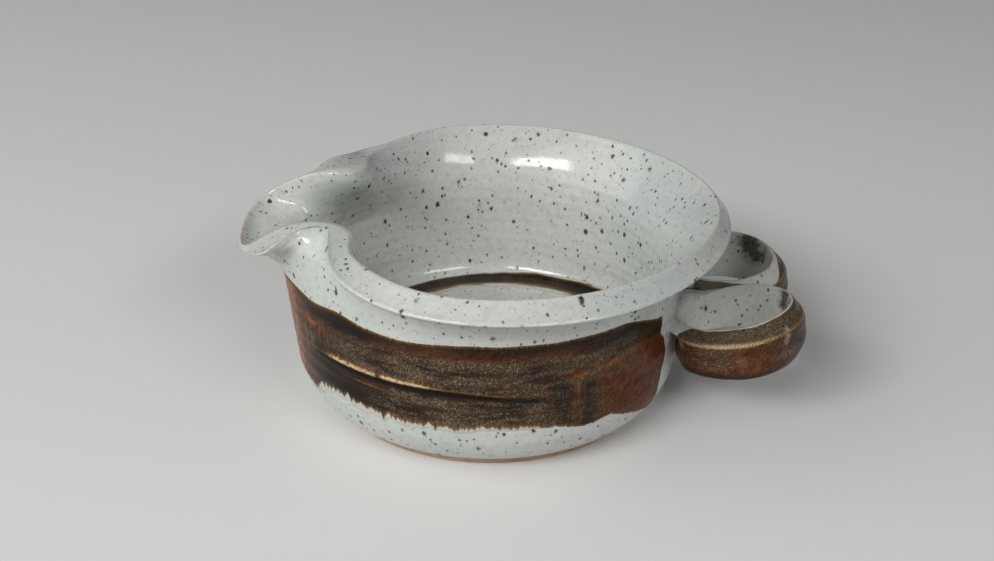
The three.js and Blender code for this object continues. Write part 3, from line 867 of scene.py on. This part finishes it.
def close_skin(piece, thickness):
    """Closes a glaze layer with a back face that lies inside the clay."""
    solid = piece.modifiers.new("layer", "SOLIDIFY")
    solid.thickness = thickness * mm
    solid.offset = -1


wall_band = new_piece(band, "wall_band", new_material("brown_band", band_finish, brown_gloss))
close_skin(wall_band, band_skin)
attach(wall_band, "root")
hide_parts("wall_band_glaze")

# Floor ring. The same brown glaze, trailed in a ring on the floor inside while the bowl turned on the wheel.
# It lies where the floor meets the wall, and its edges melted to amber.
ring_inner = 46
ring_outer = 56.6
ring_shift = Vector((3, 1.5, 0))
ring_thinness = 0.6
ring_skin = 0.4
ring_flecks = 0.15
ring_columns = 300
ring_rows = 16
ring = bmesh.new()
ring_rim = ring.verts.layers.float.new("rim")
ring_pattern = ring.verts.layers.float_vector.new("pattern")
bmesh.ops.create_grid(ring, x_segments=ring_columns, y_segments=ring_rows, size=0.5)
for vert in ring.verts:
    around = vert.co.x * math.tau
    circle = Vector((math.cos(around), math.sin(around), 0))
    inner = ring_inner + 0.5 * noise.noise(circle * 2.2) + 0.2 * noise.noise(circle * 9)
    outer = ring_outer + 0.35 * noise.noise(circle * 3 + Vector((0, 0, 4))) + 0.25 * noise.noise(circle * 12)
    radius = lerp(inner, outer, vert.co.y + 0.5)
    inset = min(radius - inner, outer - radius)
    place = circle * radius + ring_shift
    into_corner = max(place.length - floor_radius, 0) / (inner_radius - floor_radius)
    rise = floor_corner_height * (1 - math.sqrt(1 - into_corner**2))
    vert[ring_rim] = min(0.35 * (radius - inner), 1.2 * (outer - radius))
    vert[ring_pattern] = (radius / cm, circle.x * ring_inner / cm, circle.y * ring_inner / cm)
    vert.co = place + Vector((0, 0, floor_height + rise + ring_thinness * glaze_thickness(inset)))


def ring_finish(tree):
    """Dark brown glaze with few crystals and amber edges."""
    given = painted(tree, "rim") | {"Vector": attribute(tree, "pattern", "Vector"), "Flecks": ring_flecks}
    glaze = use_group(tree, brown_group, given)
    return glaze["Color"], glaze["Roughness"], glaze["Height"]


floor_ring = new_piece(ring, "floor_ring", new_material("brown_ring", ring_finish, brown_gloss))
close_skin(floor_ring, ring_skin)
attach(floor_ring, "root")
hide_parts("floor_ring_glaze")

# Finger loops. Two pulled straps of the same clay, each bent to a ring, pressed against the wall and against
# the other one; the outer face has a ridge under a bevel. The inner faces keep the pale glaze.
loops = {"front": -1, "rear": 1}
loop_radius = 17.5
loop_centres = {-1: 82.6, 1: 84}
loop_offset = 19.8
loop_top = 39
loop_bottom = 22
loop_tilts = {-1: (0.5, 0.239, 0.096), 1: (1, 0.06, 0.075)}
loop_patches = {-1: (-4, 20, 28), 1: (38, 24, 25)}
loop_steps = 168
contact_gap = 0.12
root_pinch = 2.4
end_wear = 1.6
hand_wobble = 0.3
edge_pink = (0.58, 0.45, 0.38)
olive_patch_dark = (0.024, 0.022, 0.013)
olive_patch_light = (0.10, 0.08, 0.05)
strap_outside = [
    *stroke((18.1, loop_top), (18.5, loop_top), (18.8, 38.7), 6)[:-1],
    *stroke((18.8, 38.7), (20.7, 36.7), (22.3, 35.75), 14)[:-1],
    *stroke((22.3, 35.75), (23, 35.3), (22.95, 34.3), 10)[:-1],
    *stroke((22.95, 34.3), (22.2, 32.4), (22.5, 29.8), 14)[:-1],
    *stroke((22.5, 29.8), (22.7, 22.8), (19.6, 22.05), 22),
]
strap_inside = [
    *straight((19.6, 22.05), (18.5, loop_bottom), 4)[1:-1],
    *stroke((18.5, loop_bottom), (loop_radius, loop_bottom), (loop_radius, 23.2), 7)[:-1],
    *straight((loop_radius, 23.2), (loop_radius, 38.2), 22)[:-1],
    *stroke((loop_radius, 38.2), (loop_radius, loop_top), (18.1, loop_top), 7)[:-1],
]
strap_section = strap_outside + strap_inside


def outward(line, closed):
    """Directions square to a line of points that runs down the outside of a section."""
    last = len(line) - 1
    found = []
    for step, place in enumerate(line):
        before = line[step - 1] if closed or step else place
        after = line[(step + 1) % len(line)] if closed or step < last else place
        along = (after - before).normalized()
        found.append(Vector((-along.y, along.x)))
    return found


def spin_strap(section, closed, side, first, last, steps):
    """Sweeps a section round a loop's upright axis, front (-1) or rear (1), between two swings in degrees.

    Swing 0 points away from the bowl, 90 away from the other loop and 180 to the wall.
    """
    shape = bmesh.new()
    out_layer = shape.verts.layers.float_vector.new("out")
    down_layer = shape.verts.layers.float.new("down")
    centre = Vector((loop_centres[side], side * loop_offset, 0))
    start = math.radians(side * first)
    verts = []
    down = 0
    for step, (place, out) in enumerate(zip(section, outward(section, closed))):
        down += (place - section[step - 1]).length if step else 0
        from_axis = Vector((place.x * math.cos(start), place.x * math.sin(start), place.y))
        vert = shape.verts.new(centre + from_axis)
        vert[out_layer] = (out.x, 0, out.y)
        vert[down_layer] = down
        verts.append(vert)
    pairs = list(zip(verts, verts[1:])) + ([(verts[-1], verts[0])] if closed else [])
    edges = [shape.edges.new(pair) for pair in pairs]
    full = last - first >= 360
    sweep = math.radians(side * (last - first))
    bmesh.ops.spin(
        shape,
        geom=verts + edges,
        cent=centre,
        axis=(0, 0, 1),
        angle=sweep,
        steps=steps,
        use_merge=full,
    )
    return shape, out_layer, down_layer


def swing_of(place, side, first):
    """Radius from a loop's axis and swing of a point."""
    x, y = place.x - loop_centres[side], place.y - side * loop_offset
    swing = side * math.degrees(math.atan2(y, x))
    return math.hypot(x, y), (swing - first + 1e-4) % 360 + first


def at_loop(radius, swing, height, side):
    """A point by its radius and swing, kept on its own side of the plane where the loops touch."""
    turned = math.radians(side * swing)
    outer = ramp(loop_radius + 1, loop_radius + 4, radius)
    root = ramp(138, 168, swing % 360) * ramp(222, 196, swing % 360) * ramp(37.5, 33, height)
    worn = (bell(height, 29, 4.5) - 0.5 * bell(height, 36, 2)) * bell(math.remainder(swing, 360), 0, 36)
    radius += outer * (end_wear * worn - root_pinch * root)
    hand = hand_wobble * uneven(swing / 38, 30 + side) * ramp(loop_radius - 3, loop_radius, radius)
    x = loop_centres[side] + (radius + hand) * math.cos(turned)
    y = side * loop_offset + (radius + hand) * math.sin(turned)
    y = side * max(side * y, contact_gap)
    lift, slope, outer_slope = loop_tilts[side]
    along, across = math.cos(math.radians(swing)), math.sin(math.radians(swing))
    tilt = lift + radius * (slope * along + outer_slope * across)
    follow = lerp(0.3, 1, max((height - loop_bottom) / (loop_top - loop_bottom), 0) ** 2)
    return Vector((x, y, height + tilt * follow + hand_wobble * uneven(swing / 45, 40 + side)))


def strap_finish(tree):
    """Pale glaze with soft dark olive patches on the inner faces."""
    place = new_node(tree, "ShaderNodeTexCoord").outputs["Object"]
    pale = use_group(tree, pale_group, {"Vector": place})
    crumbs = cloud(tree, place, 700.0, 3.0, 0.6)
    worn = calc(tree, "MULTIPLY", attribute(tree, "edge"), fade(tree, crumbs, 0.35, 0.6))
    colour = blend(tree, calc(tree, "MULTIPLY", worn, 0.8), pale["Color"], edge_pink)
    uneven_share = fade(tree, cloud(tree, place, 230.0, 5.0, 0.6), 0.3, 0.7, 0.5, 1.4)
    share = fade(tree, calc(tree, "MULTIPLY", attribute(tree, "brown"), uneven_share), 0.15, 0.9)
    olive = blend(tree, fade(tree, crumbs, 0.35, 0.65), olive_patch_dark, olive_patch_light)
    colour = blend(tree, share, colour, olive)
    return colour, pale["Roughness"], pale["Height"]


loop_material = new_material("loop_pale", strap_finish, pale_gloss)
for word, side in loops.items():
    strap, _, _ = spin_strap(strap_section, True, side, -180, 180, loop_steps)
    edge_layer = strap.verts.layers.float.new("edge")
    brown_layer = strap.verts.layers.float.new("brown")
    patch_swing, patch_spread, patch_foot = loop_patches[side]
    for vert in strap.verts:
        radius, swing = swing_of(vert.co, side, -180)
        height = vert.co.z
        vert[edge_layer] = bell(height, 39.1, 0.5)
        inner_face = ramp(loop_radius + 1, loop_radius + 0.3, radius)
        vert[brown_layer] = bell(swing, patch_swing, patch_spread) * ramp(patch_foot, 36, height) * inner_face
        vert.co = at_loop(radius, swing, height, side)
    piece = new_piece(strap, f"{word}_strap", loop_material)
    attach(piece, "root")
    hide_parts(f"{word}_loop")

# Loop glaze. Brown glaze brushed over the outward face of each loop, from root to root. On the ridge it is
# thin and breaks to gold, made brighter towards the front as a painted highlight. Above it is olive, and
# below it rust, which is painted black as shade on the strap's rounded underside.
skin_first = -139
skin_last = 172
skin_steps = 190
skin_top = 0.4
skin_root = 0.08
skin_thickness = 0.5
loop_streak = 0.15
bevel_dark = (0.018, 0.015, 0.008)
bevel_olive = (0.115, 0.08, 0.044)
bevel_grain = (0.42, 0.30, 0.21)
blotch_black = (0.008, 0.004, 0.003)
drip_lilac = (0.42, 0.33, 0.28)
bare_dark = (0.09, 0.08, 0.06)
bare_light = (0.15, 0.14, 0.10)


def loop_brown_finish(tree):
    """Brown glaze with an olive bevel, black blotches and a pale drip."""
    pattern = attribute(tree, "pattern", "Vector")
    sparkle = fade(tree, cloud(tree, pattern, 25.0, 3.0, 0.7), 0.36, 0.62, 0.3, 1.3)
    given = painted(tree, "rim", "rust", "flecks", "black")
    given["Vector"] = pattern
    given["Streak"] = loop_streak
    # The ridge's cream, broken up by sparkle, is thin glaze and partly a painted highlight.
    given["Cream"] = calc(tree, "MULTIPLY", attribute(tree, "cream"), sparkle)
    glaze = use_group(tree, brown_group, given)
    blotch = cloud(tree, pattern, 9.0, 5.0, 0.75)
    grains = fade(tree, cloud(tree, pattern, 26.0, 2.0, 0.6), 0.52, 0.68)
    olive = blend(tree, fade(tree, blotch, 0.32, 0.66), bevel_dark, bevel_olive)
    clustered = fade(tree, cloud(tree, pattern, 4.0, 4.0, 0.7), 0.38, 0.6, 0.2, 1.1)
    olive = blend(tree, calc(tree, "MULTIPLY", grains, clustered), olive, bevel_grain)
    colour = blend(tree, calc(tree, "MULTIPLY", attribute(tree, "olive"), 0.85), glaze["Color"], olive)
    colour = blend(tree, fade(tree, blotch, 0.44, 0.32, 0.0, 0.7), colour, blotch_black)
    dripped = calc(tree, "MULTIPLY", attribute(tree, "drip"), fade(tree, blotch, 0.4, 0.56))
    colour = blend(tree, dripped, colour, drip_lilac)
    thin = blend(tree, sparkle, bare_dark, bare_light)
    colour = blend(tree, calc(tree, "MULTIPLY", attribute(tree, "thin"), 0.85), colour, thin)
    return colour, glaze["Roughness"], glaze["Height"]


def skin_upper_edge(swing, side):
    """How far down the strap the glaze starts. It is lower at the root and on the rear loop's inner side."""
    start = skin_top + 0.25 * uneven(swing / 9, 50 + side) + 4.6 * ramp(147, 163, swing)
    return start + 5.4 * bell(swing, -42, 30) * (side > 0)


def loop_paint(swing, height, inset, side):
    """The glaze at a point of a loop: olive on the bevel, gold on the ridge with a painted highlight, rust
    and black below, the black low down being painted shade.
    """
    above = ramp(34.8, 36.2, height)
    crystals = bell(swing, 112, 30) * ramp(24, 28, height)
    # Gold on the ridge is thin glaze, brightened towards swing 108 as a painted highlight.
    ridge = bell(height, 35.3, 0.7) * (0.6 + 0.75 * bell(swing, 108, 30))
    root_patch = bell(swing, 152, 8) * bell(height, 33, 2.6)
    drip = bell(swing, 51, 2.8) * ramp(31, 33, height) * ramp(37, 35.5, height)
    lilac = 0.35 * bell(swing, 46, 14) * bell(height, 29, 1.3)
    return {
        "rim": inset + 0.6,
        "rust": (1 - above) * (0.45 + 0.55 * bell(swing, 88, 40)),
        "flecks": 0.3 + 0.7 * max(above, crystals),
        "cream": max(ridge, 0.85 * root_patch),
        # Black low on the strap is painted shade on its rounded underside. The strap is also darker towards
        # its outward end.
        "black": max(0.75 * ramp(26.5, 23.5, height), 0.55 * bell(swing, 8, 30)),
        "olive": above,
        "drip": max(drip, lilac),
        "thin": ramp(-62, -80, swing) * (side > 0),
    }


loop_brown = new_material("loop_brown", loop_brown_finish, brown_gloss)
for word, side in loops.items():
    skin, out_layer, down_layer = spin_strap(strap_outside, False, side, skin_first, skin_last, skin_steps)
    skin_paint = {
        name: skin.verts.layers.float.new(name)
        for name in ("rim", "rust", "flecks", "cream", "black", "olive", "drip", "thin")
    }
    pattern_layer = skin.verts.layers.float_vector.new("pattern")
    length = max(vert[down_layer] for vert in skin.verts)
    for vert in skin.verts:
        radius, swing = swing_of(vert.co, side, skin_first)
        height = vert.co.z
        down = vert[down_layer]
        lower_edge = length - 0.6 + 0.5 * uneven(swing / 9, 60 + side)
        to_end = math.radians(min(swing - skin_first, skin_last - swing)) * radius
        inset = min(down - skin_upper_edge(swing, side), lower_edge - down, to_end)
        for name, value in loop_paint(swing, height, inset, side).items():
            vert[skin_paint[name]] = value
        vert[pattern_layer] = (math.radians(swing) * radius / cm, -down / cm, side)
        lift = lerp(-skin_root, glaze_lift, ramp(-0.4, 1.2, inset))
        out = vert[out_layer]
        vert.co = at_loop(radius + out.x * lift, swing, height + out.z * lift, side)
    piece = new_piece(skin, f"{word}_strap_glaze", loop_brown)
    close_skin(piece, skin_thickness)
    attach(piece, "root")
    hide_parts(f"{word}_loop_glaze")

# Joints. Soft clay worked with the thumb round the two ends of each strap, where they meet the wall. It is
# smeared up the wall in a web above the loop, and was glazed with the rest.
joint_steps = 72
joint_middle = 193.4
joint_depth = 63
joint_dive = 0.4
webs = {-1: (3, 11), 1: (4, 2)}
web_reaches = (4, 8.6)
smear_start = 150
smear_end = 185
joint_fade = 2.3
joint_ends = {"outer": (122, joint_middle + 6), "inner": (joint_middle - 6, joint_middle + 80)}


def joint_rise(out, distance, web, reach, smeared):
    """How thick the worked clay lies on a strap, by which way the strap faces and how far the wall is."""
    near = math.exp(-max(distance, -1) / joint_fade)
    climbing = web * max(1 - max(distance, 0) / reach, 0)
    top = (climbing + joint_dive * ramp(reach + 3, reach, distance)) * max(out.z, 0) ** 2
    below = 1.8 * max(-out.z, 0) ** 2 * near
    face = 0.4 * max(out.x, 0) ** 2 * near
    inner = (1.3 * near + 0.8 * smeared) * max(-out.x, 0) ** 2
    return top + below + face + inner


joint_material = new_material("joint_clay", strap_finish, pale_gloss)
for word, side in loops.items():
    for end, (first, last) in joint_ends.items():
        joint, out_layer, _ = spin_strap(strap_section, True, side, first, last, joint_steps)
        edge_layer = joint.verts.layers.float.new("edge")
        brown_layer = joint.verts.layers.float.new("brown")
        for vert in joint.verts:
            radius, swing = swing_of(vert.co, side, first)
            height = vert.co.z
            out = vert[out_layer]
            inwards = ramp(joint_middle - 22, joint_middle + 22, swing)
            crease = lerp(268, 238, (height - loop_bottom) / (loop_top - loop_bottom))
            smeared = ramp(smear_start, smear_end, swing) * ramp(crease + 7, crease - 3, swing)
            place = at_loop(radius, swing, height, side)
            distance = math.hypot(place.x, place.y) - wall_radius
            web, reach = lerp(*webs[side], inwards), lerp(*web_reaches, inwards)
            rise = joint_rise(out, distance, web, reach, smeared)
            past_middle = swing - joint_middle if end == "outer" else joint_middle - swing
            lift = rise - joint_dive - 0.3 * ramp(0, 6, past_middle)
            place = at_loop(radius + out.x * lift, swing, height + out.z * lift, side)
            if end == "inner":
                between = ramp(0.1, 0.6, out.x) * ramp(84, 79, place.x)
                if side > 0:
                    between *= ramp(38.8, 35.5, height)
                place.y = lerp(place.y, side * contact_gap, between)
                vert[brown_layer] = 0.85 * ramp(-0.6, -0.1, out.x) * (side > 0)
            from_axis = math.hypot(place.x, place.y)
            within = max(joint_depth / from_axis, 1)
            vert.co = (place.x * within, place.y * within, place.z)
        rims = [edge for edge in joint.edges if edge.is_boundary]
        bmesh.ops.edgeloop_fill(joint, edges=rims)
        piece = new_piece(joint, f"{word}_{end}_joint", joint_material)
        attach(piece, "root")
        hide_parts(f"{word}_loop_{end}_joint")

# Table, light and camera. A plain pale table top, two soft lamps in front and above, a large one at the left
# and even light from the room. The camera stands in front and a little above, as for the photo.
# The table throws back less light than it shows. Lamps are given in metres and watts.
table_half = 4000
table_gap = 0.2
table_shown = (0.80, 0.795, 0.78)
table_bounce = (0.62, 0.615, 0.60)
table_shape = bmesh.new()
bmesh.ops.create_grid(table_shape, x_segments=1, y_segments=1, size=table_half)
bmesh.ops.translate(table_shape, verts=table_shape.verts, vec=(0, 0, -table_gap))
bmesh.ops.scale(table_shape, vec=(mm, mm, mm), verts=table_shape.verts)
table_mesh = bpy.data.meshes.new("table_top")
table_shape.to_mesh(table_mesh)
table_shape.free()
table_material = bpy.data.materials.new("table_top")
table_material.use_nodes = True
table_tree = table_material.node_tree
table_shader = table_tree.nodes["Principled BSDF"]
ray = new_node(table_tree, "ShaderNodeLightPath").outputs
shown = calc(table_tree, "MAXIMUM", ray["Is Camera Ray"], ray["Is Glossy Ray"])
table_colour = blend(table_tree, shown, table_bounce, table_shown)
table_tree.links.new(table_colour, table_shader.inputs["Base Color"])
table_shader.inputs["Roughness"].default_value = 0.7
table_mesh.materials.append(table_material)
table_top = bpy.data.objects.new("table_top", table_mesh)
bpy.context.collection.objects.link(table_top)
lamp_aim = Vector((0, 0, 0.05))


def soft_lamp(name, place, width, height, power):
    """A rectangular lamp that faces the bowl."""
    data = bpy.data.lights.new(name, "AREA")
    data.shape = "RECTANGLE"
    data.size = width
    data.size_y = height
    data.energy = power
    lamp = bpy.data.objects.new(name, data)
    lamp.location = place
    lamp.rotation_euler = (lamp_aim - Vector(place)).to_track_quat("-Z", "Y").to_euler()
    bpy.context.collection.objects.link(lamp)


soft_lamp("left_lamp", (-0.7, -1.02, 0.92), 0.9, 0.3, 11.5)
soft_lamp("right_lamp", (0.72, -1.08, 0.92), 0.75, 0.3, 5.5)
soft_lamp("side_lamp", (-1.7, -0.6, 1.1), 2.2, 1.8, 18)

world = bpy.data.worlds.new("room")
world.use_nodes = True
room = world.node_tree.nodes["Background"]
room.inputs["Color"].default_value = (0.97, 0.985, 1, 1)
room.inputs["Strength"].default_value = 0.14
bpy.context.scene.world = world

aim = Vector((0, 0, 0.04))
distance = 0.48216
elevation = math.radians(26.383)
nod = 0.0015
pan = -0.0054
roll = math.radians(0.399)
lens = bpy.data.cameras.new("camera")
lens.lens = 50
lens.sensor_width = 36
camera = bpy.data.objects.new("camera", lens)
camera.location = aim + distance * Vector((0, -math.cos(elevation), math.sin(elevation)))
facing = Matrix.Rotation(pan, 3, "Z") @ Matrix.Rotation(math.pi / 2 - (elevation + nod), 3, "X")
camera.rotation_euler = (facing @ Matrix.Rotation(roll, 3, "Z")).to_euler()
bpy.context.collection.objects.link(camera)
bpy.context.scene.camera = camera
bpy.context.scene.view_settings.view_transform = "Standard"
